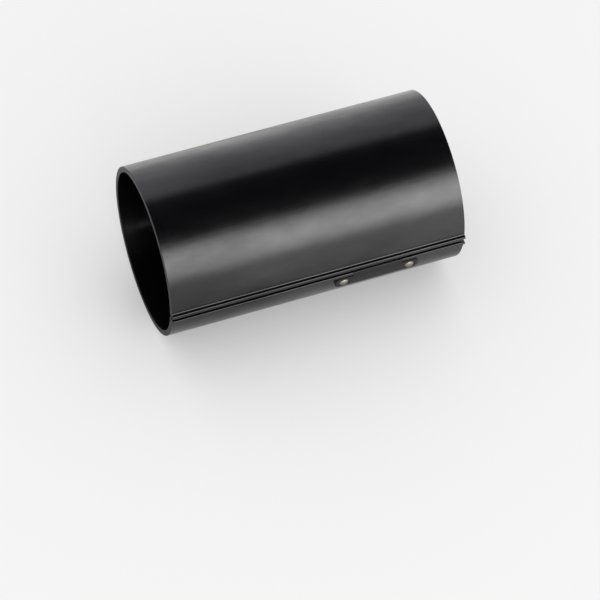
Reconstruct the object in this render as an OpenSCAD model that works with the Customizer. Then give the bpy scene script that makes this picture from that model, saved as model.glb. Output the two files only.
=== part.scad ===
// Gift wrap cutter: a slotted tube that slides along a roll of wrapping paper.
// The sheet leaves the tube through a slot between two outward lips. A small fixed
// blade crosses that slot, so the sheet is cut as the tube is pushed along the roll.
// The blade sits in a two-part cartridge, riveted into a notch in the lower lip.
// X runs along the tube and the cut goes towards +X. The slot faces -Y, and Z is up.
// The origin is on the bore's axis, halfway along the tube.

/* [Tube] */
// Length of the tube
body_len = 106.5; // [80:0.5:160]
// Diameter of the bore that goes over the roll
bore_d = 56; // [46:0.5:72]
// Thickness of the tube's wall
wall = 2; // [1.6:0.1:3]

/* [Lips and slot] */
// Height of the slot between the lips
slot_gap = 1.2; // [0.8:0.1:2]
// Thickness of each lip
lip_t = 1.5; // [1.4:0.1:2.5]
// How far the lips stand out from the tube
lip_proud = 1.2; // [1:0.1:2.5]
// Radius of the edges at the front of the lips
lip_round = 0.4; // [0.1:0.05:0.5]
// Radius of the corner where a lip leaves the tube
lip_fillet = 0.5; // [0.1:0.05:0.6]
// Radius of the slot's edges inside the bore
mouth_round = 0.5; // [0.2:0.05:0.6]
// How far each lip is cut back at the end where the sheet enters
lead_in = 0.5; // [0.1:0.1:0.8]
// Length of that flared mouth
lead_len = 2.5; // [1:0.5:8]

/* [Blade] */
// Distance from the tube's middle to the blade's middle
blade_x = 21; // [0:0.5:22]
// Length of the blade
blade_len = 12; // [9:0.5:16]
// Thickness of the blade
blade_t = 0.5; // [0.3:0.05:0.6]
// How deep the blade stands in the cartridge
blade_seat = 4.4; // [3.5:0.1:6]
// How far the blade's tip reaches into the upper lip
tip_depth = 0.7; // [0.3:0.05:0.8]
// Lean of the cutting edge from the upright
edge_rake = 40; // [20:1:50]
// How far below the slot the cutting edge starts
edge_dip = 0.8; // [0.3:0.1:1.5]
// Width of the ground bevels
bevel_w = 0.9; // [0.4:0.1:1.5]
// Size of the clipped corner at the blade's back
heel_clip = 1.2; // [0.5:0.1:1.6]

/* [Cartridge] */
// Distance from the lips' front to the seam between the two halves
seam_set = 1.65; // [1.4:0.05:1.8]
// Material past each end of the blade
pocket_end = 3; // [2:0.25:5]
// Material under the blade
pocket_floor = 2; // [1.2:0.1:3]
// How far the outer half laps over the tube below the notch
plate_lap = 1; // [0.5:0.1:2]
// Length of each riveted ear
ear_len = 6; // [4.5:0.25:8]
// Corner radius of the ears
ear_round = 1.5; // [0.5:0.1:2]
// Diameter of the moulded pegs that carry the blade
peg_d = 1.5; // [1:0.1:2]
// Distance between the pegs
peg_pitch = 5.5; // [4:0.25:6]
// How far the pegs enter the outer half
peg_reach = 0.6; // [0.3:0.05:0.8]
// How far the pegs sit below the middle of the blade's seat
peg_drop = 0.4; // [0:0.1:0.8]

/* [Rivets] */
// Diameter of the rivets' shanks
rivet_d = 2; // [1.6:0.1:2.4]
// Diameter of their round heads
rivet_head_d = 3.6; // [3:0.1:4]
// Height of the round heads
rivet_head_h = 0.8; // [0.5:0.05:1.1]
// Diameter of the flush tails inside the bore
rivet_tail_d = 3.2; // [2.8:0.1:3.6]
// Depth of the flat seat under each head
rivet_seat = 0.25; // [0.15:0.05:0.4]

/* [Clearances] */
// Gap round the cartridge in its notch
notch_fit = 0.1; // [0.05:0.01:0.2]
// Gap between the outer half and the tube
seat_fit = 0.05; // [0.02:0.01:0.1]
// Gap on each side of the blade in its pocket, and round the pegs
blade_fit = 0.05; // [0.02:0.01:0.1]
// Gap round the blade's tip in the upper lip
tip_fit = 0.15; // [0.05:0.01:0.2]
// Gap round the rivets in their holes
rivet_fit = 0.05; // [0.02:0.01:0.1]
// How far the cartridge and the rivets stay back from the bore
bore_relief = 0.1; // [0.05:0.05:0.3]

/* [Hidden] */

shell_color = "#1a1a1c";
cartridge_color = "#2b2b2f";
steel_color = "#b9bcc0";

// Fineness of the large arcs, the small arcs and the holes
fine = 160;
small = 32;
// How far a cut runs past the face that it opens
over = 1;
// How far a fillet sinks into its neighbours
sink = 0.1;
// How far a rounding runs past the large arc that it meets, so that the two cross
blend = 0.001;

r_in = bore_d / 2;
r_out = r_in + wall;
lip_front = r_out + lip_proud;
slot_half = slot_gap / 2;
lip_top = slot_half + lip_t;
seam = lip_front - seam_set;

cart_len = blade_len + 2 * pocket_end;
cart_low = slot_half + blade_seat + pocket_floor;
notch_low = cart_low + notch_fit;
plate_low = notch_low + plate_lap;
plate_high = lip_top + lip_fillet;
plate_len = cart_len + 2 * ear_len;

rivet_x = (cart_len + ear_len) / 2;
rivet_angle = asin((plate_low + plate_high) / 2 / r_out);
rivet_tail_h = (rivet_tail_d - rivet_d) / 2;
head_base = lip_front - rivet_seat;

blade_low = slot_half + blade_seat;
tip_z = slot_half + tip_depth;
peg_z = -(slot_half + blade_seat / 2 + peg_drop);
edge_start = [blade_len / 2, -slot_half - edge_dip];
edge_rise = tip_z - edge_start[1];
edge_end = [edge_start[0] - edge_rise * tan(edge_rake), tip_z];

// Distance from the middle of a circle of radius r to a chord at height h
function chord(r, h) = sqrt(r * r - h * h);

// Extrudes a section, drawn as [Y, Z], along X and centres it on the blade or on the tube
module along_x(length) rotate([90, 0, 90]) linear_extrude(length, center = true) children();

// Extrudes a plan, drawn as [X, Z], along Y from the distance near to the distance far
module along_y(near, far) translate([0, -near, 0]) rotate([90, 0, 0]) linear_extrude(far - near) children();

// Moves a piece from the tube's middle to the blade
module at_blade() translate([blade_x, 0, 0]) children();

// Turns a piece whose axis is Z so that it points outwards through each ear
module at_rivets() at_blade() for (side = [-1, 1])
    translate([side * rivet_x, 0, 0]) rotate([90 + rivet_angle, 0, 0]) children();

// Lean of the line from the tube's middle to a point at distance r and height h
function lean(r, h) = asin(h / r);

// Sliver that rounds a corner: it fills an inner corner, or is cut from an outer one.
// It starts at the angle where its arc touches the side along X.
module corner(r, start = 0) difference() {
    polygon([[0, 0], [r + sink, (r + sink) * tan(start)], [r + sink, r + sink], [0, r + sink]]);
    circle(r, $fn = small);
}

// The same shape above and below the slot
module both_lips() for (side = [0, 1]) mirror([0, side]) children();

// Front edge of a lip, tangent to its curved front, at a height and turned down or up
module front_edge(height, down)
    translate([-chord(lip_front - lip_round + blend, height), height])
        mirror([1, 0]) mirror([0, down])
            corner(lip_round, (down ? -1 : 1) * lean(lip_front - lip_round, height));

// Edge of the slot inside the bore, tangent to the bore
module mouth_edge()
    translate([-chord(r_in + mouth_round - blend, slot_half + mouth_round), slot_half + mouth_round])
        mirror([0, 1]) corner(mouth_round, lean(r_in + mouth_round, slot_half + mouth_round));

// Section of the tube with its two lips
module shell_section() difference() {
    union() {
        circle(r_out, $fn = fine);
        intersection() {
            circle(lip_front, $fn = fine);
            translate([-lip_front, -lip_top]) square([lip_proud + wall / 2, 2 * lip_top]);
        }
        both_lips()
            translate([-chord(r_out + lip_fillet - blend, plate_high), plate_high])
                mirror([0, 1]) corner(lip_fillet, lean(r_out + lip_fillet, plate_high));
    }
    circle(r_in, $fn = fine);
    translate([-lip_front - over, -slot_half]) square([lip_front + over, slot_gap]);
    both_lips() {
        front_edge(lip_top - lip_round, 0);
        front_edge(slot_half + lip_round, 1);
        mouth_edge();
    }
}

// Plan of a plate in [X, Z] with rounded corners
module rounded_plan(length, low, high, r) difference() {
    translate([-length / 2, low]) square([length, high - low]);
    for (side = [0, 1], end = [[high - r, 0], [low + r, 1]])
        mirror([side, 0]) translate([length / 2 - r, end[0]]) mirror([0, end[1]]) corner(r);
}

// Hole of a rivet through the wall, with the countersink for its tail
module rivet_hole() {
    r = rivet_d / 2 + rivet_fit;
    tail_r = rivet_tail_d / 2 + rivet_fit;
    tail_top = r_in + bore_relief;
    cylinder(h = lip_front + over, r = r, $fn = small);
    translate([0, 0, tail_top - over]) cylinder(h = over, r = tail_r, $fn = small);
    translate([0, 0, tail_top]) cylinder(h = tail_r - r, r1 = tail_r, r2 = r, $fn = small);
}

// Notch through the lower lip and the wall behind it
module notch() at_blade() along_y(r_in - 2 * over, lip_front + over)
    translate([-cart_len / 2 - notch_fit, -notch_low])
        square([cart_len + 2 * notch_fit, notch_low]);

// Groove in the upper lip that takes the blade's tip
module tip_groove() at_blade() along_y(seam - blade_t - 2 * blade_fit - tip_fit, seam + tip_fit)
    translate([-blade_len / 2 - tip_fit, 0]) square([blade_len + 2 * tip_fit, tip_z + tip_fit]);

// Flared mouth where the sheet enters the slot
module slot_mouth() along_y(r_in - 2 * over, lip_front + over)
    polygon([
        [body_len / 2 - lead_len, slot_half], [body_len / 2 - lead_len, -slot_half],
        [body_len / 2 + sink, -slot_half - lead_in], [body_len / 2 + sink, slot_half + lead_in]
    ]);

// Extruded tube with its lips, cut to length and notched for the cartridge
module tube_shell() color(shell_color) difference() {
    along_x(body_len) shell_section();
    notch();
    tip_groove();
    slot_mouth();
    at_rivets() rivet_hole();
}

// Section of the inner half, between the bore and the seam
module inner_section() difference() {
    translate([-seam, -cart_low]) square([seam - r_in / 2, cart_low - slot_half]);
    circle(r_in + bore_relief, $fn = fine);
    mirror([0, 1]) mouth_edge();
}

// Pocket that the blade stands in, open to the slot and at the seam
module blade_pocket() along_y(seam - blade_t - 2 * blade_fit, seam + over)
    translate([-blade_len / 2 - blade_fit, -blade_low - blade_fit])
        square([blade_len + 2 * blade_fit, blade_low]);

// Two round pegs, or with a gap their holes, from the seam's inner side outwards
module pegs(near, far, gap) for (side = [-1, 1])
    along_y(near, far) translate([side * peg_pitch / 2, peg_z]) circle(peg_d / 2 + gap, $fn = small);

// Inner half of the cartridge: closes the wall, carries the blade on two pegs
module cartridge_inner() color(cartridge_color) at_blade() {
    difference() {
        along_x(cart_len) inner_section();
        blade_pocket();
    }
    pegs(seam - blade_t - 2 * blade_fit - sink, seam + peg_reach, 0);
}

// Section of the outer half where it fills the notch: the lower lip and the plate below it
module outer_section() difference() {
    intersection() {
        circle(lip_front, $fn = fine);
        translate([-lip_front, -plate_low]) square([lip_front - seam, plate_low - slot_half]);
    }
    mirror([0, 1]) front_edge(slot_half + lip_round, 1);
}

// Section of the curved plate that lies on the tube, before its outline is cut
module plate_section() difference() {
    circle(lip_front, $fn = fine);
    circle(r_out + seat_fit, $fn = fine);
}

// Outer half of the cartridge: completes the lower lip and is riveted on by its ears
module cartridge_outer() color(cartridge_color) difference() {
    at_blade() difference() {
        union() {
            along_x(cart_len) outer_section();
            intersection() {
                along_x(plate_len + 2 * over) plate_section();
                along_y(0, lip_front + over)
                    rounded_plan(plate_len, -plate_low, -plate_high, ear_round);
            }
        }
        along_y(0, seam) translate([-cart_len / 2 - notch_fit, -cart_low])
            square([cart_len + 2 * notch_fit, cart_low]);
        pegs(seam - over, seam + peg_reach + blade_fit, blade_fit);
    }
    at_rivets() {
        cylinder(h = lip_front + over, r = rivet_d / 2 + rivet_fit, $fn = small);
        translate([0, 0, head_base]) cylinder(h = over, r = rivet_head_d / 2 + sink, $fn = small);
    }
}

// Outline of the blade in [X, Z]
module blade_outline() difference() {
    polygon([
        [-blade_len / 2, -blade_low], [blade_len / 2, -blade_low], edge_start,
        edge_end, [heel_clip - blade_len / 2, tip_z], [-blade_len / 2, tip_z - heel_clip]
    ]);
    for (side = [-1, 1]) translate([side * peg_pitch / 2, peg_z]) circle(peg_d / 2 + blade_fit, $fn = small);
}

// Wedge ground off one face along the cutting edge, drawn across the edge
module bevel_wedge() linear_extrude(2 * edge_rise / cos(edge_rake) + 2 * over, center = true)
    polygon([
        [-bevel_w, blade_t / 2], [0, 0], [bevel_w, 0], [bevel_w, blade_t], [-bevel_w, blade_t]
    ]);

// Steel blade with a raked edge that is ground on both faces
module cutting_blade() color(steel_color) at_blade()
    translate([0, blade_t / 2 + blade_fit - seam, 0]) difference() {
        along_y(-blade_t / 2, blade_t / 2) blade_outline();
        for (face = [0, 1]) mirror([0, face, 0])
            translate([edge_start[0], 0, edge_start[1]]) rotate([0, -edge_rake, 0]) bevel_wedge();
    }

// Rivet along Z, which is the distance from the bore's axis
module rivet() {
    dome_r = (pow(rivet_head_d / 2, 2) + pow(rivet_head_h, 2)) / (2 * rivet_head_h);
    tail = r_in + bore_relief;
    translate([0, 0, tail]) {
        cylinder(h = head_base - tail, r = rivet_d / 2, $fn = small);
        cylinder(h = rivet_tail_h, r1 = rivet_tail_d / 2, r2 = rivet_d / 2, $fn = small);
    }
    translate([0, 0, head_base]) intersection() {
        translate([0, 0, rivet_head_h - dome_r]) sphere(dome_r, $fn = 2 * small);
        cylinder(h = rivet_head_h + over, r = rivet_head_d, $fn = small);
    }
}

// Two rivets with round heads outside and flush tails in the bore
module cartridge_rivets() color(steel_color) at_rivets() rivet();

tube_shell();
cartridge_inner();
cartridge_outer();
cutting_blade();
cartridge_rivets();
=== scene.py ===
# Slotted tube cutter: a black plastic tube with a small steel blade held across its slot.
# X runs along the tube, the slot faces -Y and Z is up. Pieces are modelled in mm and end in metres.
from math import asin, cos, pi, radians, sin, sqrt, tan

import bmesh
import bpy
from mathutils import Matrix, Vector


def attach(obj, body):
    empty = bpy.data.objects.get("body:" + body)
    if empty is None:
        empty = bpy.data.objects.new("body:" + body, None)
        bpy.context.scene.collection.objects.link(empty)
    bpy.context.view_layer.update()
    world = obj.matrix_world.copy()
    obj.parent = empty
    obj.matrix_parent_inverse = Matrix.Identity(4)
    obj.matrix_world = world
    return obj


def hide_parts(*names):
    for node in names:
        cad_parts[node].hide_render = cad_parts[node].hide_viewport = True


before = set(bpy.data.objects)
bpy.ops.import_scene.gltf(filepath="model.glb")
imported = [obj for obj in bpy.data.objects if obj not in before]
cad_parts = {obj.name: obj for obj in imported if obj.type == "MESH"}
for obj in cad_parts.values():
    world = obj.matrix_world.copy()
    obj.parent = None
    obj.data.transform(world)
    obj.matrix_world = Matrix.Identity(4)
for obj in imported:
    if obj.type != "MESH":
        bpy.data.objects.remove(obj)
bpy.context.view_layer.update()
print("frame loaded, nodes:", sorted(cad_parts))

mm = 0.001  # in metres. Lengths are in mm unless a note says so, and dictionaries hold degrees
hair = 0.001  # two points closer than this are one
touch = 0.05  # a point this near a surface lies on it
spare = 1.0  # how far a tool or a blank reaches past what it shapes
inside, beyond = 20.0, 40.0  # distances from the tube's axis, clear of the wall on either side


# sRGB hex value to the linear colour that the shaders take
def linearColor(hexColor):
    parts = [int(hexColor[i:i + 2], 16) / 255 for i in (1, 3, 5)]
    return [c / 12.92 if c <= 0.04045 else ((c + 0.055) / 1.055) ** 2.4 for c in parts] + [1.0]


# Adds a node. A Mix node's sockets go by number: 0 is its factor, 2 and 3 are numbers, and
# 6 and 7 are colours, which come out at 2
def addNode(tree, kind, values={}, links={}, **settings):
    made = tree.nodes.new(kind)
    for key, value in settings.items():
        setattr(made, key, value)
    for key, value in values.items():
        made.inputs[key].default_value = value
    for key, source in links.items():
        tree.links.new(source, made.inputs[key])
    return made


def newMaterial(name):
    made = bpy.data.materials.new(name)
    made.use_nodes = True
    made.node_tree.nodes.clear()
    return made, made.node_tree


# Noise scale at which a pattern's parts are this wide
def scaleFor(width):
    return 1 / (width * mm)


# Tone between a look's dark and light colours, by a pattern
def tonesOf(tree, pattern, look):
    tones = {6: linearColor(look["dark"]), 7: linearColor(look["light"])}
    return addNode(tree, "ShaderNodeMix", tones, {0: pattern}, data_type="RGBA").outputs[2]


# Ends a material in which one pattern sets the tone, the roughness and the relief together
def finishWith(tree, pattern, look, constants):
    rough = addNode(tree, "ShaderNodeMath",
                    {1: look["roughSwing"], 2: look["roughness"] - look["roughSwing"] / 2},
                    {0: pattern}, operation="MULTIPLY_ADD")
    bump = addNode(tree, "ShaderNodeBump", {"Strength": 1.0, "Distance": look["depth"] * mm},
                   {"Height": pattern})
    shader = addNode(tree, "ShaderNodeBsdfPrincipled", constants,
                     {"Base Color": tonesOf(tree, pattern, look), "Roughness": rough.outputs[0],
                      "Normal": bump.outputs[0]})
    addNode(tree, "ShaderNodeOutputMaterial", {}, {"Surface": shader.outputs[0]})


def toObject(bm, name):
    mesh = bpy.data.meshes.new(name)
    bm.to_mesh(mesh)
    bm.free()
    made = bpy.data.objects.new(name, mesh)
    bpy.context.scene.collection.objects.link(made)
    return made


def wholeMesh(bm):
    return bm.verts[:] + bm.edges[:] + bm.faces[:]


def vertsIn(geometry):
    return [v for v in geometry if isinstance(v, bmesh.types.BMVert)]


# Turns geometry about an axis and returns the last ring's vertices; a whole turn closes
def spinAbout(bm, geometry, axis, turn, steps, centre=(0, 0, 0), whole=False):
    made = bmesh.ops.spin(bm, geom=geometry, cent=centre, axis=axis, dvec=(0, 0, 0), angle=turn,
                          steps=steps, use_merge=whole, use_duplicate=False)
    return vertsIn(made["geom_last"])


# Arc about the tube's axis from one vertex, up by a turn or down by a negative one
def spinArc(bm, first, turn, steps):
    return spinAbout(bm, [first], (1, 0, 0), -turn, steps)[0]


# Point at an angle (in radians) above the slot's plane, as seen from the tube's axis
def sectionPoint(radius, angle, x=0):
    return (x, -radius * cos(angle), radius * sin(angle))


def roundCorners(bm, corners, radius, segments):
    bmesh.ops.bevel(bm, geom=corners, offset=radius, offset_type="OFFSET", affect="VERTICES",
                    segments=segments, profile=0.5, material=-1, clamp_overlap=False)


# Rounds a piece's edges where both ends pass a test and the faces turn by more than an angle
def roundEdges(piece, pick, radius, segments, turnFrom=30):
    bm = bmesh.new()
    bm.from_mesh(piece.data)
    edges = [e for e in bm.edges if e.is_manifold and e.calc_face_angle() > radians(turnFrom)
             and all(pick(v.co) for v in e.verts)]
    bmesh.ops.bevel(bm, geom=edges, offset=radius, offset_type="OFFSET", affect="EDGES",
                    segments=segments, profile=0.5, material=-1, clamp_overlap=True)
    bmesh.ops.remove_doubles(bm, verts=bm.verts, dist=hair)
    bmesh.ops.dissolve_degenerate(bm, edges=bm.edges, dist=hair)
    bm.to_mesh(piece.data)
    bm.free()
    print("rounded", len(edges), "edges of", piece.name)


def pullFaces(bm, faces, way):
    made = bmesh.ops.extrude_face_region(bm, geom=faces)
    bmesh.ops.translate(bm, vec=way, verts=vertsIn(made["geom"]))
    bmesh.ops.recalc_face_normals(bm, faces=bm.faces)


# Flat outline in X and Z, pulled along Y from a near distance to a far one
def flatPlate(bm, outline, near, far, corners=(), radius=0):
    points = [bm.verts.new((x, -near, z)) for x, z in outline]
    bm.faces.new(points)
    if corners:
        roundCorners(bm, [points[i] for i in corners], radius, 6)
    pullFaces(bm, bm.faces[:], (0, near - far, 0))


# Curved slab between two radii, from an angle (in radians) down to a lower one
def curvedSlab(name, inner, outer, top, bottom, left, right):
    bm = bmesh.new()
    ends = [bm.verts.new(sectionPoint(r, top, left)) for r in (inner, outer)]
    edge = bm.edges.new(ends)
    spinAbout(bm, [edge, *ends], (1, 0, 0), top - bottom, 20)
    pullFaces(bm, bm.faces[:], (right - left, 0, 0))
    return toObject(bm, name)


def boxTool(name, low, high):
    bm = bmesh.new()
    bmesh.ops.create_cube(bm, size=1)
    size = Vector(high) - Vector(low)
    bmesh.ops.scale(bm, vec=size, verts=bm.verts)
    bmesh.ops.translate(bm, vec=Vector(low) + size / 2, verts=bm.verts)
    return toObject(bm, name)


# Cuts tools from a piece, joins them to it or keeps what they share, and removes the tools
def combine(piece, how, *tools):
    for tool in tools:
        step = piece.modifiers.new(tool.name, "BOOLEAN")
        step.operation, step.object, step.solver = how, tool, "EXACT"
    bpy.context.view_layer.update()
    shape = piece.evaluated_get(bpy.context.evaluated_depsgraph_get())
    piece.data = bpy.data.meshes.new_from_object(shape)
    piece.modifiers.clear()
    for tool in tools:
        bpy.data.objects.remove(tool)
    return piece


# Puts a finished piece in the place of its node: metres, shading, materials and body.
# Faces that pass the test take the second material
def settle(piece, node, materials, sharpFrom=32, takesSecond=None):
    piece.data.transform(Matrix.Scale(mm, 4))
    piece.data.materials.clear()
    for material in materials:
        piece.data.materials.append(material)
    if takesSecond:
        for face in piece.data.polygons:
            face.material_index = 1 if takesSecond(face) else 0
    piece.data.shade_smooth()
    piece.data.set_sharp_from_angle(angle=radians(sharpFrom))
    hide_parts(node)
    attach(piece, "root")
    print("made", piece.name, len(piece.data.polygons), "faces")


# The tube. Its bore, outside and lipFront are radii, and slotHalf is half of the slot's width
tube = {
    "length": 106.5, "bore": 28.0, "outside": 30.0, "facets": 300,
    "slotHalf": 0.6, "lipThick": 1.5, "lipFront": 31.2,
    "lipRound": 0.4, "lipFillet": 0.5, "mouthRound": 0.5,
    "endChamfer": 0.14, "sawnDepth": 0.3,
    "leadIn": 0.48, "leadLength": 2.5, "leadZone": 1.25,  # the flare where the slot's end opens
}
lipTop = tube["slotHalf"] + tube["lipThick"]


# Black high-impact polystyrene, extruded and drawn off through a sizing die: glossy, with faint
# lengthwise draw lines, orange peel, cloudy patches where the melt cooled unevenly, and slow waves
def extrudedPolystyrene():
    look = {
        "dark": "#08080a", "light": "#0c0c0e", "ior": 1.55, "roughness": 0.205,
        "lineSpacing": 0.9, "lineStretch": 0.012, "lineRough": 0.05, "lineDepth": 0.005,
        "peelSize": 1.3, "peelDepth": 0.006,
        "waveLength": 26.0, "waveDepth": 0.17, "cloudSize": 5.0, "cloudDepth": 0.028,
        "cloudFrom": 0.35, "cloudTo": 0.75, "cloudRough": 0.05,
        "patchStretch": 0.45, "patchShift": (280, 236, -121),
        "filmSize": 22.0, "filmFrom": 0.35, "filmTo": 0.65, "filmAmount": 0.7, "filmRough": 0.18,
        "scuffWidth": 0.45, "scuffStretch": 0.04, "scuffFrom": 0.5, "scuffTo": 0.75,
        "scuffRough": 0.06, "scuffStart": 44.0,
    }
    material, tree = newMaterial("extrudedPolystyrene")
    place = addNode(tree, "ShaderNodeTexCoord").outputs["Object"]
    along = addNode(tree, "ShaderNodeMapping", {"Scale": (look["lineStretch"], 1, 1)},
                    {"Vector": place})
    patches = addNode(tree, "ShaderNodeMapping",
                      {"Location": Vector(look["patchShift"]) * mm,
                       "Scale": (look["patchStretch"], 1, 1)}, {"Vector": place})
    around = addNode(tree, "ShaderNodeMapping",
                     {"Scale": (1, look["scuffStretch"], look["scuffStretch"])}, {"Vector": place})

    # each pattern: the width of its parts, its detail, how rough the detail is, and its space
    patterns = {
        "lines": (look["lineSpacing"], 3, 0.6, along),
        "peel": (look["peelSize"], 2, 0.5, patches),
        "clouds": (look["cloudSize"], 3, 0.55, patches),
        "waves": (look["waveLength"], 1, 0.4, patches),
        "film": (look["filmSize"], 5, 0.65, patches),
        "scuffs": (look["scuffWidth"], 2, 0.6, around),
    }
    for name, (width, detail, fineness, space) in patterns.items():
        noise = addNode(tree, "ShaderNodeTexNoise",
                        {"Scale": scaleFor(width), "Detail": detail, "Roughness": fineness},
                        {"Vector": space.outputs[0]})
        patterns[name] = noise.outputs[0]

    # handling leaves a thin greasy film in patches, which shines more than the bare plastic
    film = addNode(tree, "ShaderNodeMapRange",
                   {"From Min": look["filmFrom"], "From Max": look["filmTo"],
                    "To Min": 0, "To Max": look["filmAmount"]}, {"Value": patterns["film"]})

    # handling scuffs run round the tube near its ends
    axes = addNode(tree, "ShaderNodeSeparateXYZ", {}, {0: place})
    fromMiddle = addNode(tree, "ShaderNodeMath", {}, {0: axes.outputs["X"]}, operation="ABSOLUTE")
    nearEnd = addNode(tree, "ShaderNodeMapRange",
                      {"From Min": look["scuffStart"] * mm, "From Max": tube["length"] / 2 * mm,
                       "To Min": 0, "To Max": look["scuffRough"]},
                      {"Value": fromMiddle.outputs[0]}, interpolation_type="SMOOTHSTEP")
    scuffing = addNode(tree, "ShaderNodeMapRange",
                       {"From Min": look["scuffFrom"], "From Max": look["scuffTo"],
                        "To Min": 0, "To Max": 1}, {"Value": patterns["scuffs"]})

    streaked = addNode(tree, "ShaderNodeMath",
                       {1: look["lineRough"], 2: look["roughness"] - look["lineRough"] / 2},
                       {0: patterns["lines"]}, operation="MULTIPLY_ADD")
    patchy = addNode(tree, "ShaderNodeMapRange",
                     {"From Min": look["cloudFrom"], "From Max": look["cloudTo"],
                      "To Min": 0, "To Max": look["cloudRough"]}, {"Value": patterns["clouds"]})
    clouded = addNode(tree, "ShaderNodeMath", {}, {0: streaked.outputs[0], 1: patchy.outputs[0]},
                      operation="ADD")
    rough = addNode(tree, "ShaderNodeMath", {},
                    {0: scuffing.outputs[0], 1: nearEnd.outputs[0], 2: clouded.outputs[0]},
                    operation="MULTIPLY_ADD")

    relief = {}  # each bump is laid on the one before
    for name, depth in (("lines", "lineDepth"), ("peel", "peelDepth"),
                        ("clouds", "cloudDepth"), ("waves", "waveDepth")):
        bump = addNode(tree, "ShaderNodeBump", {"Strength": 1.0, "Distance": look[depth] * mm},
                       {"Height": patterns[name], **relief})
        relief = {"Normal": bump.outputs[0]}
    shader = addNode(tree, "ShaderNodeBsdfPrincipled",
                     {"IOR": look["ior"], "Coat Roughness": look["filmRough"]},
                     {"Base Color": tonesOf(tree, patterns["clouds"], look),
                      "Roughness": rough.outputs[0], "Coat Weight": film.outputs[0],
                      "Coat Normal": bump.outputs[0], **relief})
    addNode(tree, "ShaderNodeOutputMaterial", {}, {"Surface": shader.outputs[0]})
    return material


# The same plastic where a fine saw has parted it: duller and a shade lighter, with straight marks
def sawnPolystyrene():
    look = {"dark": "#161618", "light": "#26262a", "ior": 1.59, "roughness": 0.48,
            "roughSwing": 0.14, "markSpacing": 0.35, "markStretch": 0.03, "depth": 0.008}
    material, tree = newMaterial("sawnPolystyrene")
    place = addNode(tree, "ShaderNodeTexCoord").outputs["Object"]
    across = addNode(tree, "ShaderNodeMapping", {"Scale": (1, 1, look["markStretch"])},
                     {"Vector": place})
    marks = addNode(tree, "ShaderNodeTexNoise",
                    {"Scale": scaleFor(look["markSpacing"]), "Detail": 3, "Roughness": 0.65},
                    {"Vector": across.outputs[0]})
    finishWith(tree, marks.outputs[0], look, {"IOR": look["ior"]})
    return material


# Section of the tube: the wall's two arcs, the slot between them and the two outward lips
def tubeSection(bm, x):
    bore, outside, front, half = tube["bore"], tube["outside"], tube["lipFront"], tube["slotHalf"]
    root, lipOuter = asin(lipTop / outside), asin(lipTop / front)
    lipInner, mouth = asin(half / front), asin(half / bore)
    upper = {name: bm.verts.new(sectionPoint(r, a, x)) for name, r, a in (
        ("root", outside, root), ("outer", front, lipOuter), ("mouth", bore, mouth))}
    lower = {}
    lower["root"] = spinArc(bm, upper["root"], 2 * (pi - root), tube["facets"])
    lower["outer"] = bm.verts.new(sectionPoint(front, -lipOuter, x))
    lower["mouth"] = spinArc(bm, upper["mouth"], 2 * (pi - mouth), tube["facets"])
    upper["inner"] = spinArc(bm, upper["outer"], lipInner - lipOuter, 1)
    lower["inner"] = spinArc(bm, lower["outer"], lipOuter - lipInner, 1)
    for side in (upper, lower):
        bm.edges.new((side["root"], side["outer"]))
        bm.edges.new((side["inner"], side["mouth"]))
    bmesh.ops.contextual_create(bm, geom=bm.edges[:])
    roundCorners(bm, [side["root"] for side in (upper, lower)], tube["lipFillet"], 5)
    roundCorners(bm, [side[end] for side in (upper, lower) for end in ("outer", "inner")],
                 tube["lipRound"], 4)
    roundCorners(bm, [side["mouth"] for side in (upper, lower)], tube["mouthRound"], 5)


# The extrusion, cut to length, with its ends deburred and the slot flared at the leading end
def makeTube():
    half, chamfer = tube["length"] / 2, tube["endChamfer"]
    bm = bmesh.new()
    tubeSection(bm, chamfer - half)
    pullFaces(bm, bm.faces[:], (2 * (half - chamfer), 0, 0))
    for end in [f for f in bm.faces if abs(f.normal.x) > 0.99]:
        bmesh.ops.inset_region(bm, faces=[end], thickness=chamfer, depth=chamfer,
                               use_boundary=True, use_even_offset=True)
    bmesh.ops.bisect_plane(bm, geom=wholeMesh(bm), dist=hair,
                           plane_co=(half - tube["leadLength"], 0, 0), plane_no=(1, 0, 0))
    for side in (-1, 1):
        edge = [v for v in bm.verts if v.co.x > half - spare and v.co.y < 0
                and 0 < side * v.co.z < tube["leadZone"]]
        bmesh.ops.translate(bm, vec=(0, 0, side * tube["leadIn"]), verts=edge)
    return cutTube(toObject(bm, "tubeShell"))


# Notch for the holder, groove for the blade's tip and two countersunk rivet holes
def cutTube(shell):
    middle, seam, tipGap = blade["middle"], holder["seam"], blade["tipGap"]
    reach, grooveReach = holder["length"] / 2 + holder["notchGap"], blade["length"] / 2 + tipGap
    grooveFloor = seam - blade["thick"] - 2 * blade["gap"] - tipGap
    notch = boxTool("notch", (middle - reach, -beyond, -holder["low"] - holder["notchGap"]),
                    (middle + reach, -inside, 0))
    groove = boxTool("tipGroove", (middle - grooveReach, -seam - tipGap, 0),
                     (middle + grooveReach, -grooveFloor, bladeTop + tipGap))
    shank, tail = rivet["shank"] + rivet["gap"], rivet["tail"] + rivet["gap"]
    base = rivet["tailBase"]
    holes = rivetTools("rivetHole", ((0, inside), (tail, inside), (tail, base),
                                     (shank, base + tail - shank), (shank, beyond), (0, beyond)))
    return combine(shell, "DIFFERENCE", notch, groove, *holes)


# True on the tube's sawn ends and their deburred rims
def isSawn(face):
    fromEnd = tube["length"] / 2 * mm - abs(face.center.x)
    return abs(face.normal.x) > 0.5 and fromEnd < tube["sawnDepth"] * mm


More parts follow.
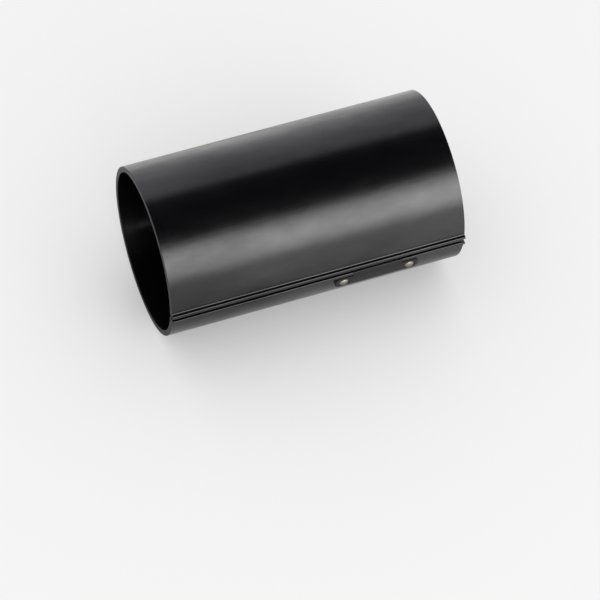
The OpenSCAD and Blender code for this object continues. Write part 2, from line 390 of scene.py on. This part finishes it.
# The blade's holder, in two halves that meet at the seam, a distance from the tube's axis
holder = {
    "length": 18.0, "low": 7.0, "seam": 29.55, "notchGap": 0.1, "boreRadius": 28.1,
    "plateTop": 2.6, "plateLow": 8.1, "plateLength": 30.0, "seatRadius": 30.05,
    "cornerRound": 1.5, "edgeRound": 0.12, "edgeDepth": 0.35,
    "pegPitch": 5.5, "pegRadius": 0.75, "pegDrop": 3.2, "pegReach": 0.6, "pegRoot": 0.3,
}


# Black ABS moulded in a spark-eroded tool: satin, with a fine even grain
def mouldedAbs():
    look = {"dark": "#101012", "light": "#18181b", "ior": 1.54, "roughness": 0.42,
            "roughSwing": 0.12, "grain": 0.22, "depth": 0.008}
    material, tree = newMaterial("mouldedAbs")
    place = addNode(tree, "ShaderNodeTexCoord").outputs["Object"]
    # the real grain is near 0.05 mm: drawn coarser so that it shows
    grain = addNode(tree, "ShaderNodeTexNoise",
                    {"Scale": scaleFor(look["grain"]), "Detail": 2, "Roughness": 0.6},
                    {"Vector": place})
    finishWith(tree, grain.outputs[0], look, {"IOR": look["ior"]})
    return material


# Two round bars along Y at the pegs' places, from a near distance before the axis to a far one
def pegTools(name, radius, near, far):
    tools = []
    for side in (-1, 1):
        bm = bmesh.new()
        bmesh.ops.create_cone(bm, cap_ends=True, cap_tris=False, segments=32, radius1=radius,
                              radius2=radius, depth=far - near)
        bmesh.ops.rotate(bm, cent=(0, 0, 0), matrix=Matrix.Rotation(pi / 2, 3, "X"), verts=bm.verts)
        x = blade["middle"] + side * holder["pegPitch"] / 2
        bmesh.ops.translate(bm, vec=(x, -(near + far) / 2, -holder["pegDrop"]), verts=bm.verts)
        tools.append(toObject(bm, name))
    return tools


# Outer half: a plate that lies on the tube, with two ears, and the block that fills the lower lip
def makeHolderOuter():
    middle, reach, half = blade["middle"], holder["length"] / 2, holder["plateLength"] / 2
    seam, front = holder["seam"], tube["lipFront"]
    low, top = -holder["plateLow"], -holder["plateTop"]
    left, right, slot = middle - half, middle + half, -tube["slotHalf"]
    below = -asin((holder["plateLow"] + spare) / front)
    piece = curvedSlab("holderOuter", seam - spare, front, 0, below, left - spare, right + spare)

    bm = bmesh.new()
    flatPlate(bm, ((left, low), (right, low), (right, top), (middle + reach, top),
                   (middle + reach, slot), (middle - reach, slot), (middle - reach, top),
                   (left, top)), inside, beyond, (0, 1, 2, 7), holder["cornerRound"])
    combine(piece, "INTERSECT", toObject(bm, "plateOutline"))

    # the room that the tube takes passes the plate's edges, but leaves the block
    tubeRoom = curvedSlab("tubeRoom", tube["bore"] - spare, holder["seatRadius"], 0.1, below - 0.05,
                          left - 2 * spare, right + 2 * spare)
    combine(tubeRoom, "DIFFERENCE", boxTool("blockRoom", (middle - reach, -beyond, -holder["low"]),
                                            (middle + reach, -inside, 5)))
    roomReach = reach + holder["notchGap"]
    innerRoom = boxTool("innerRoom", (middle - roomReach, -seam, -holder["low"]),
                        (middle + roomReach, -inside, spare))
    shank, head = rivet["shank"] + rivet["gap"], rivet["head"] + rivet["headGap"]
    seat = rivet["headSeat"]
    holes = rivetTools("earHole", ((0, inside), (shank, inside), (shank, seat), (head, seat),
                                   (head, beyond), (0, beyond)))
    pegHoles = pegTools("pegHole", holder["pegRadius"] + blade["gap"], seam - spare,
                        seam + holder["pegReach"] + blade["gap"])
    combine(piece, "DIFFERENCE", tubeRoom, innerRoom, *holes, *pegHoles)

    def onLipEdge(co):
        return abs(co.z - slot) < touch and co.y < touch - front

    def onOutline(co):
        fromRivet = min(abs(co.x - middle - side * rivet["offset"]) for side in (-1, 1))
        atRivet = fromRivet < rivet["roomHalf"] and rivet["roomLow"] < co.z < rivet["roomTop"]
        return co.yz.length > front - holder["edgeDepth"] and co.y < -seam and not atRivet

    roundEdges(piece, onLipEdge, tube["lipRound"], 4)
    roundEdges(piece, onOutline, holder["edgeRound"], 3)
    return piece


# Inner half: closes the wall level with the bore, and carries the blade on two pegs in its pocket
def makeHolderInner():
    middle, reach, seam = blade["middle"], holder["length"] / 2, holder["seam"]
    slot, base, gap = -tube["slotHalf"], holder["boreRadius"], blade["gap"]
    # the blank passes the notch above and below, and its outer radius passes the seam
    piece = curvedSlab("holderInner", base, seam + 1.5, 0.1, -0.35, middle - reach, middle + reach)
    wallRoom = boxTool("wallRoom", (middle - reach - spare, -seam, -holder["low"]),
                       (middle + reach + spare, -inside, slot))
    combine(piece, "INTERSECT", wallRoom)
    bladeReach, pocketFloor = blade["length"] / 2 + gap, seam - blade["thick"] - 2 * gap
    pocket = boxTool("bladePocket", (middle - bladeReach, -seam - spare, bladeLow - gap),
                     (middle + bladeReach, -pocketFloor, spare))
    combine(piece, "DIFFERENCE", pocket)
    roundEdges(piece, lambda co: abs(co.z - slot) < touch and abs(co.yz.length - base) < touch,
               tube["mouthRound"], 5)
    pegs = pegTools("peg", holder["pegRadius"], pocketFloor - holder["pegRoot"],
                    seam + holder["pegReach"])
    return combine(piece, "UNION", *pegs)


# The blade stands across the slot: seat and tip say how far it reaches below and above it
blade = {
    "middle": 21.0, "length": 12.0, "thick": 0.5, "seat": 4.4, "tip": 0.7, "gap": 0.05,
    "tipGap": 0.15, "rake": 40.0, "dip": 0.8, "bevel": 0.9, "heel": 1.2, "edge": 0.02,
    "groundRough": 0.26, "honedRough": 0.18,
}
bladeLow, bladeTop = -tube["slotHalf"] - blade["seat"], tube["slotHalf"] + blade["tip"]


# Hardened carbon steel, ground in one direction: fine parallel lines that stretch the shine
def groundSteel(name, lean, roughness):
    look = {"dark": "#8f9296", "light": "#c0c2c5", "roughness": roughness, "roughSwing": 0.16,
            "lineSpacing": 0.12, "lineStretch": 0.04, "depth": 0.0012}
    material, tree = newMaterial(name)
    place = addNode(tree, "ShaderNodeTexCoord").outputs["Object"]
    leaning = addNode(tree, "ShaderNodeMapping", {"Rotation": (0, radians(lean), 0)},
                      {"Vector": place})
    along = addNode(tree, "ShaderNodeMapping", {"Scale": (look["lineStretch"], 1, 1)},
                    {"Vector": leaning.outputs[0]})
    lines = addNode(tree, "ShaderNodeTexNoise",
                    {"Scale": scaleFor(look["lineSpacing"]), "Detail": 3, "Roughness": 0.7},
                    {"Vector": along.outputs[0]})
    finishWith(tree, lines.outputs[0], look, {"Metallic": 1.0})
    return material


# Flat strip with a clipped heel, two peg holes and a raked edge ground from both faces
def makeBlade():
    middle, rake, thick = blade["middle"], radians(blade["rake"]), blade["thick"]
    left, right = middle - blade["length"] / 2, middle + blade["length"] / 2
    near = holder["seam"] - blade["gap"] - thick
    edgeLow = -tube["slotHalf"] - blade["dip"]
    edgeTop = right - (bladeTop - edgeLow) * tan(rake)
    bm = bmesh.new()
    flatPlate(bm, ((left, bladeLow), (right, bladeLow), (right, edgeLow), (edgeTop, bladeTop),
                   (left + blade["heel"], bladeTop), (left, bladeTop - blade["heel"])),
              near, near + thick)
    outward = Vector((cos(rake), 0, sin(rake)))
    edgePoint = Vector((right, 0, edgeLow))
    bmesh.ops.bisect_plane(bm, geom=wholeMesh(bm), dist=hair,
                           plane_co=edgePoint - outward * blade["bevel"], plane_no=outward)
    thinning = blade["edge"] / thick
    for v in bm.verts:
        if abs((v.co - edgePoint).dot(outward)) < hair:
            v.co.y = v.co.y * thinning - (near + thick / 2) * (1 - thinning)
    bmesh.ops.recalc_face_normals(bm, faces=bm.faces)
    pegHoles = pegTools("bladeHole", holder["pegRadius"] + blade["gap"], near - spare,
                        near + thick + spare)
    return combine(toObject(bm, "cuttingBlade"), "DIFFERENCE", *pegHoles)


# True on the two ground slopes of the edge, which turn a little from the blade's flat faces
def isHoned(face):
    return 0.9 < abs(face.normal.y) < 0.995


# The rivets: shank, head, tail and dimple are radii, and seat and base are distances from the
# tube's axis. The room round each head is kept free of the plate's rounding
rivet = {
    "offset": 12.0, "shank": 1.0, "head": 1.8, "headHeight": 0.8, "headSeat": 30.95, "headGap": 0.1,
    "rimEase": 0.08, "rimTrim": 0.01, "tail": 1.6, "tailBase": 28.1, "gap": 0.05, "facets": 48,
    "dimple": 0.55, "dimpleFloor": 0.33, "dimpleDepth": 0.3,
    "roomHalf": 2.2, "roomLow": -7.4, "roomTop": -3.1,
}
rivetLean = asin((holder["plateLow"] + holder["plateTop"]) / 2 / tube["outside"])


# Mild steel rivets, barrel-tumbled and nickel plated: bright, slightly warm, softly dimpled
def nickelPlate():
    look = {"dark": "#a39d92", "light": "#bfb9ae", "roughness": 0.24, "roughSwing": 0.14,
            "dimple": 0.5, "depth": 0.006}
    material, tree = newMaterial("nickelPlate")
    place = addNode(tree, "ShaderNodeTexCoord").outputs["Object"]
    dimples = addNode(tree, "ShaderNodeTexNoise",
                      {"Scale": scaleFor(look["dimple"]), "Detail": 3, "Roughness": 0.55},
                      {"Vector": place})
    finishWith(tree, dimples.outputs[0], look, {"Metallic": 1.0})
    return material


# Shape of revolution about Z, from a profile of radius and height. A dome about a point of the
# axis closes it on top
def turned(name, profile, domeCentre=None):
    bm = bmesh.new()
    points = [bm.verts.new((r, 0, z)) for r, z in profile]
    for pair in zip(points, points[1:]):
        bm.edges.new(pair)
    if domeCentre is not None:
        r, z = profile[-1]
        domeRadius = sqrt(r * r + (z - domeCentre) ** 2)
        spinAbout(bm, [points[-1]], (0, 1, 0), -asin(r / domeRadius), 10, (0, 0, domeCentre))
    spinAbout(bm, bm.verts[:] + bm.edges[:], (0, 0, 1), 2 * pi, rivet["facets"], whole=True)
    bmesh.ops.remove_doubles(bm, verts=bm.verts, dist=hair)
    bmesh.ops.recalc_face_normals(bm, faces=bm.faces)
    return toObject(bm, name)


# From the Z axis to an ear: the shape then points outwards through it
def rivetPlace(side):
    return (Matrix.Translation((blade["middle"] + side * rivet["offset"], 0, 0))
            @ Matrix.Rotation(pi / 2 + rivetLean, 4, "X"))


def rivetTools(name, profile):
    tools = []
    for side in (-1, 1):
        tool = turned(name, profile)
        tool.data.transform(rivetPlace(side))
        tools.append(tool)
    return tools


# Domed heads outside, flush tails in the bore with the small dimple that clinching leaves
def makeRivets():
    head, height, seat = rivet["head"], rivet["headHeight"], rivet["headSeat"]
    shank, tail, base = rivet["shank"], rivet["tail"], rivet["tailBase"]
    dimpleTop = base + rivet["dimpleDepth"]
    domeRadius = (head ** 2 + height ** 2) / (2 * height)
    centre, rim = seat + height - domeRadius, head - rivet["rimTrim"]
    piece = turned("holderRivets", (
        (0, dimpleTop), (rivet["dimpleFloor"], dimpleTop), (rivet["dimple"], base), (tail, base),
        (shank, base + tail - shank), (shank, seat), (head - rivet["rimEase"], seat),
        (rim, centre + sqrt(domeRadius ** 2 - rim ** 2))), centre)
    bm = bmesh.new()
    bm.from_mesh(piece.data)
    bmesh.ops.transform(bm, matrix=rivetPlace(-1), verts=bm.verts)
    copied = bmesh.ops.duplicate(bm, geom=wholeMesh(bm))["geom"]
    bmesh.ops.translate(bm, vec=(2 * rivet["offset"], 0, 0), verts=vertsIn(copied))
    bm.to_mesh(piece.data)
    bm.free()
    return piece


settle(makeTube(), "tube_shell", [extrudedPolystyrene(), sawnPolystyrene()],
       30, isSawn)
plastic = mouldedAbs()
settle(makeHolderOuter(), "cartridge_outer", [plastic])
settle(makeHolderInner(), "cartridge_inner", [plastic])
settle(makeBlade(), "cutting_blade",
       [groundSteel("groundSteel", 0, blade["groundRough"]),
        groundSteel("honedSteel", 90 - blade["rake"], blade["honedRough"])], 10, isHoned)
settle(makeRivets(), "cartridge_rivets", [nickelPlate()])


# The floor, in metres but for its stipple's depth. glowSeen is the share of it that the camera sees
# as a lit white backdrop. Within shadeReach of the object an ambient-occlusion term cuts that
# share, a painted shade that stands in for the object's shadow
floorBoard = {
    "color": "#eceae8", "height": -0.0300, "size": 8.0, "roughness": 0.85, "specular": 0.2,
    "stipplesPerMetre": 700, "stippleDepth": 0.02,
    "glowSeen": 0.85, "shadeReach": 0.2, "shadeFrom": 0.86,
}


# Matt emulsion on board: plain and pale, with a trace of roller stipple. Mirroring surfaces see it
# as the white backdrop too, with a painted shade from ambient occlusion where the object would
# shade it
def floorPaint():
    material, tree = newMaterial("floorPaint")
    place = addNode(tree, "ShaderNodeTexCoord").outputs["Object"]
    stipple = addNode(tree, "ShaderNodeTexNoise",
                      {"Scale": floorBoard["stipplesPerMetre"], "Detail": 2}, {"Vector": place})
    bump = addNode(tree, "ShaderNodeBump",
                   {"Strength": 0.3, "Distance": floorBoard["stippleDepth"] * mm},
                   {"Height": stipple.outputs[0]})
    paint = addNode(tree, "ShaderNodeBsdfPrincipled",
                    {"Base Color": linearColor(floorBoard["color"]),
                     "Roughness": floorBoard["roughness"],
                     "Specular IOR Level": floorBoard["specular"]}, {"Normal": bump.outputs[0]})
    white = addNode(tree, "ShaderNodeEmission", {"Color": (1, 1, 1, 1), "Strength": 1.0})
    ray = addNode(tree, "ShaderNodeLightPath").outputs
    # ambient occlusion paints a shade on the floor near the object: it cuts the white glow that the
    # camera and mirrored rays see
    openness = addNode(tree, "ShaderNodeAmbientOcclusion", {"Distance": floorBoard["shadeReach"]},
                       samples=8).outputs["AO"]
    toCamera = addNode(tree, "ShaderNodeMath", {1: floorBoard["glowSeen"]}, {0: openness},
                       operation="MULTIPLY")
    shaded = addNode(tree, "ShaderNodeMapRange",
                     {"From Min": floorBoard["shadeFrom"], "From Max": 1, "To Min": 0, "To Max": 1},
                     {"Value": openness})
    mirrored = addNode(tree, "ShaderNodeMath", {},
                       {0: ray["Is Glossy Ray"], 1: ray["Is Transmission Ray"]},
                       operation="MAXIMUM")
    toMirrors = addNode(tree, "ShaderNodeMath", {}, {0: mirrored.outputs[0], 1: shaded.outputs[0]},
                        operation="MULTIPLY")
    share = addNode(tree, "ShaderNodeMix", {},
                    {0: ray["Is Camera Ray"], 2: toMirrors.outputs[0], 3: toCamera.outputs[0]},
                    data_type="FLOAT")
    mixed = addNode(tree, "ShaderNodeMixShader", {},
                    {0: share.outputs[0], 1: paint.outputs[0], 2: white.outputs[0]})
    addNode(tree, "ShaderNodeOutputMaterial", {}, {"Surface": mixed.outputs[0]})
    return material


def makeFloor():
    bm = bmesh.new()
    bmesh.ops.create_grid(bm, x_segments=1, y_segments=1, size=floorBoard["size"] / 2)
    bmesh.ops.translate(bm, vec=(0, 0, floorBoard["height"]), verts=bm.verts)
    floor = toObject(bm, "studioFloor")
    floor.data.materials.append(floorPaint())


# The room. wallTop and the ceiling's lean, spread and edge are angles. endFrom and endTo say how
# far a direction leans towards X, as the X of its unit vector
room = {
    "color": "#f4f4fa", "backdropSeen": 0.93,
    "horizonLevel": 0.95, "wallLevel": 0.72, "wallTop": 50.0,
    "endLevel": 0.35, "endFrom": 0.4, "endTo": 0.85,
    "ceilingLevel": 0.024, "ceilingLean": 6.5, "ceilingSpread": 38.5, "ceilingEdge": 5.0,
}


# Pale walls, brightest at the horizon and dimmer beyond the tube's two ends, and a dark ceiling
# that leans a little to the front. The camera sees a plain backdrop instead
def makeWorld():
    world = bpy.data.worlds.new("studioRoom")
    bpy.context.scene.world = world
    world.use_nodes = True
    tree = world.node_tree
    tree.nodes.clear()
    way = addNode(tree, "ShaderNodeTexCoord").outputs["Generated"]
    axes = addNode(tree, "ShaderNodeSeparateXYZ", {}, {0: way}).outputs
    wall = addNode(tree, "ShaderNodeMapRange",
                   {"From Min": 0, "From Max": sin(radians(room["wallTop"])),
                    "To Min": room["horizonLevel"], "To Max": room["wallLevel"]},
                   {"Value": axes["Z"]})
    lean, spread, edge = (radians(room[k]) for k in ("ceilingLean", "ceilingSpread", "ceilingEdge"))
    overhead = addNode(tree, "ShaderNodeVectorMath", {1: (0, -sin(lean), cos(lean))}, {0: way},
                       operation="DOT_PRODUCT")
    ceiling = addNode(tree, "ShaderNodeMapRange",
                      {"From Min": cos(spread + edge), "From Max": cos(spread - edge),
                       "To Min": 1, "To Max": room["ceilingLevel"]},
                      {"Value": overhead.outputs["Value"]}, interpolation_type="SMOOTHSTEP")
    walls = addNode(tree, "ShaderNodeMath", {}, {0: wall.outputs[0], 1: ceiling.outputs[0]},
                    operation="MULTIPLY")
    aside = addNode(tree, "ShaderNodeMath", {}, {0: axes["X"]}, operation="ABSOLUTE")
    ends = addNode(tree, "ShaderNodeMapRange",
                   {"From Min": room["endFrom"], "From Max": room["endTo"],
                    "To Min": 1, "To Max": room["endLevel"]},
                   {"Value": aside.outputs[0]}, interpolation_type="SMOOTHSTEP")
    lit = addNode(tree, "ShaderNodeMath", {}, {0: walls.outputs[0], 1: ends.outputs[0]},
                  operation="MULTIPLY")
    seen = addNode(tree, "ShaderNodeLightPath").outputs["Is Camera Ray"]
    level = addNode(tree, "ShaderNodeMix", {3: room["backdropSeen"]}, {0: seen, 2: lit.outputs[0]},
                    data_type="FLOAT")
    glow = addNode(tree, "ShaderNodeBackground", {"Color": linearColor(room["color"])},
                   {"Strength": level.outputs[0]})
    addNode(tree, "ShaderNodeOutputWorld", {}, {"Surface": glow.outputs[0]})


# The lamp: its way up and its turn from the front are angles, as is its spread from the middle to
# a long edge, seen from the tube. Its distance and width are in metres
softbox = {"up": 26.6, "turn": 14.5, "distance": 1.5, "wide": 1.4, "spread": 31.5, "radiance": 3.45}


# One large softbox in front, brightest along its middle and fading to its long edges
def makeLamp():
    data = bpy.data.lights.new("frontSoftbox", "AREA")
    tall = 2 * softbox["distance"] * tan(radians(softbox["spread"]))
    data.shape, data.size, data.size_y = "RECTANGLE", softbox["wide"], tall
    data.energy = softbox["radiance"] * pi * data.size * data.size_y
    data.use_nodes = True
    tree = data.node_tree
    tree.nodes.clear()
    face = addNode(tree, "ShaderNodeNewGeometry").outputs["Parametric"]
    across = addNode(tree, "ShaderNodeSeparateXYZ", {}, {0: face})
    offMiddle = addNode(tree, "ShaderNodeMath", {1: 0.5}, {0: across.outputs["Y"]},
                        operation="SUBTRACT")
    distance = addNode(tree, "ShaderNodeMath", {}, {0: offMiddle.outputs[0]}, operation="ABSOLUTE")
    hump = addNode(tree, "ShaderNodeMapRange",
                   {"From Min": 0, "From Max": 0.5, "To Min": 1, "To Max": 0},
                   {"Value": distance.outputs[0]}, interpolation_type="SMOOTHSTEP")
    glow = addNode(tree, "ShaderNodeEmission", {"Color": (1, 1, 1, 1)},
                   {"Strength": hump.outputs[0]})
    addNode(tree, "ShaderNodeOutputLight", {}, {"Surface": glow.outputs[0]})
    lamp = bpy.data.objects.new("frontSoftbox", data)
    up, turn = radians(softbox["up"]), radians(softbox["turn"])
    way = Vector((sin(turn) * cos(up), -cos(turn) * cos(up), sin(up)))
    facing = way.to_track_quat("Z", "Y").to_matrix().to_4x4()
    lamp.matrix_world = Matrix.Translation(way * softbox["distance"]) @ facing
    lamp.visible_camera = False
    bpy.context.scene.collection.objects.link(lamp)


# The camera, fitted to the tube's outline: its place is in metres, and right and up are the
# directions of its frame's sides
photoCamera = {
    "place": (-0.2918, -0.7093, 1.0102), "lens": 220.03, "sensor": 36, "clip": (0.05, 20),
    "right": (0.93868, -0.34314, 0.03383), "up": (0.25990, 0.76859, 0.58457),
}


def makeCamera():
    data = bpy.data.cameras.new("photoCamera")
    data.lens, data.sensor_width = photoCamera["lens"], photoCamera["sensor"]
    data.clip_start, data.clip_end = photoCamera["clip"]
    camera = bpy.data.objects.new("photoCamera", data)
    right, up = Vector(photoCamera["right"]), Vector(photoCamera["up"])
    turn = Matrix((right, up, right.cross(up))).transposed().to_4x4()
    camera.matrix_world = Matrix.Translation(photoCamera["place"]) @ turn
    bpy.context.scene.collection.objects.link(camera)
    bpy.context.scene.camera = camera


makeFloor()
makeWorld()
makeLamp()
makeCamera()
bpy.context.scene.view_settings.view_transform = "Standard"
print("studio ready")
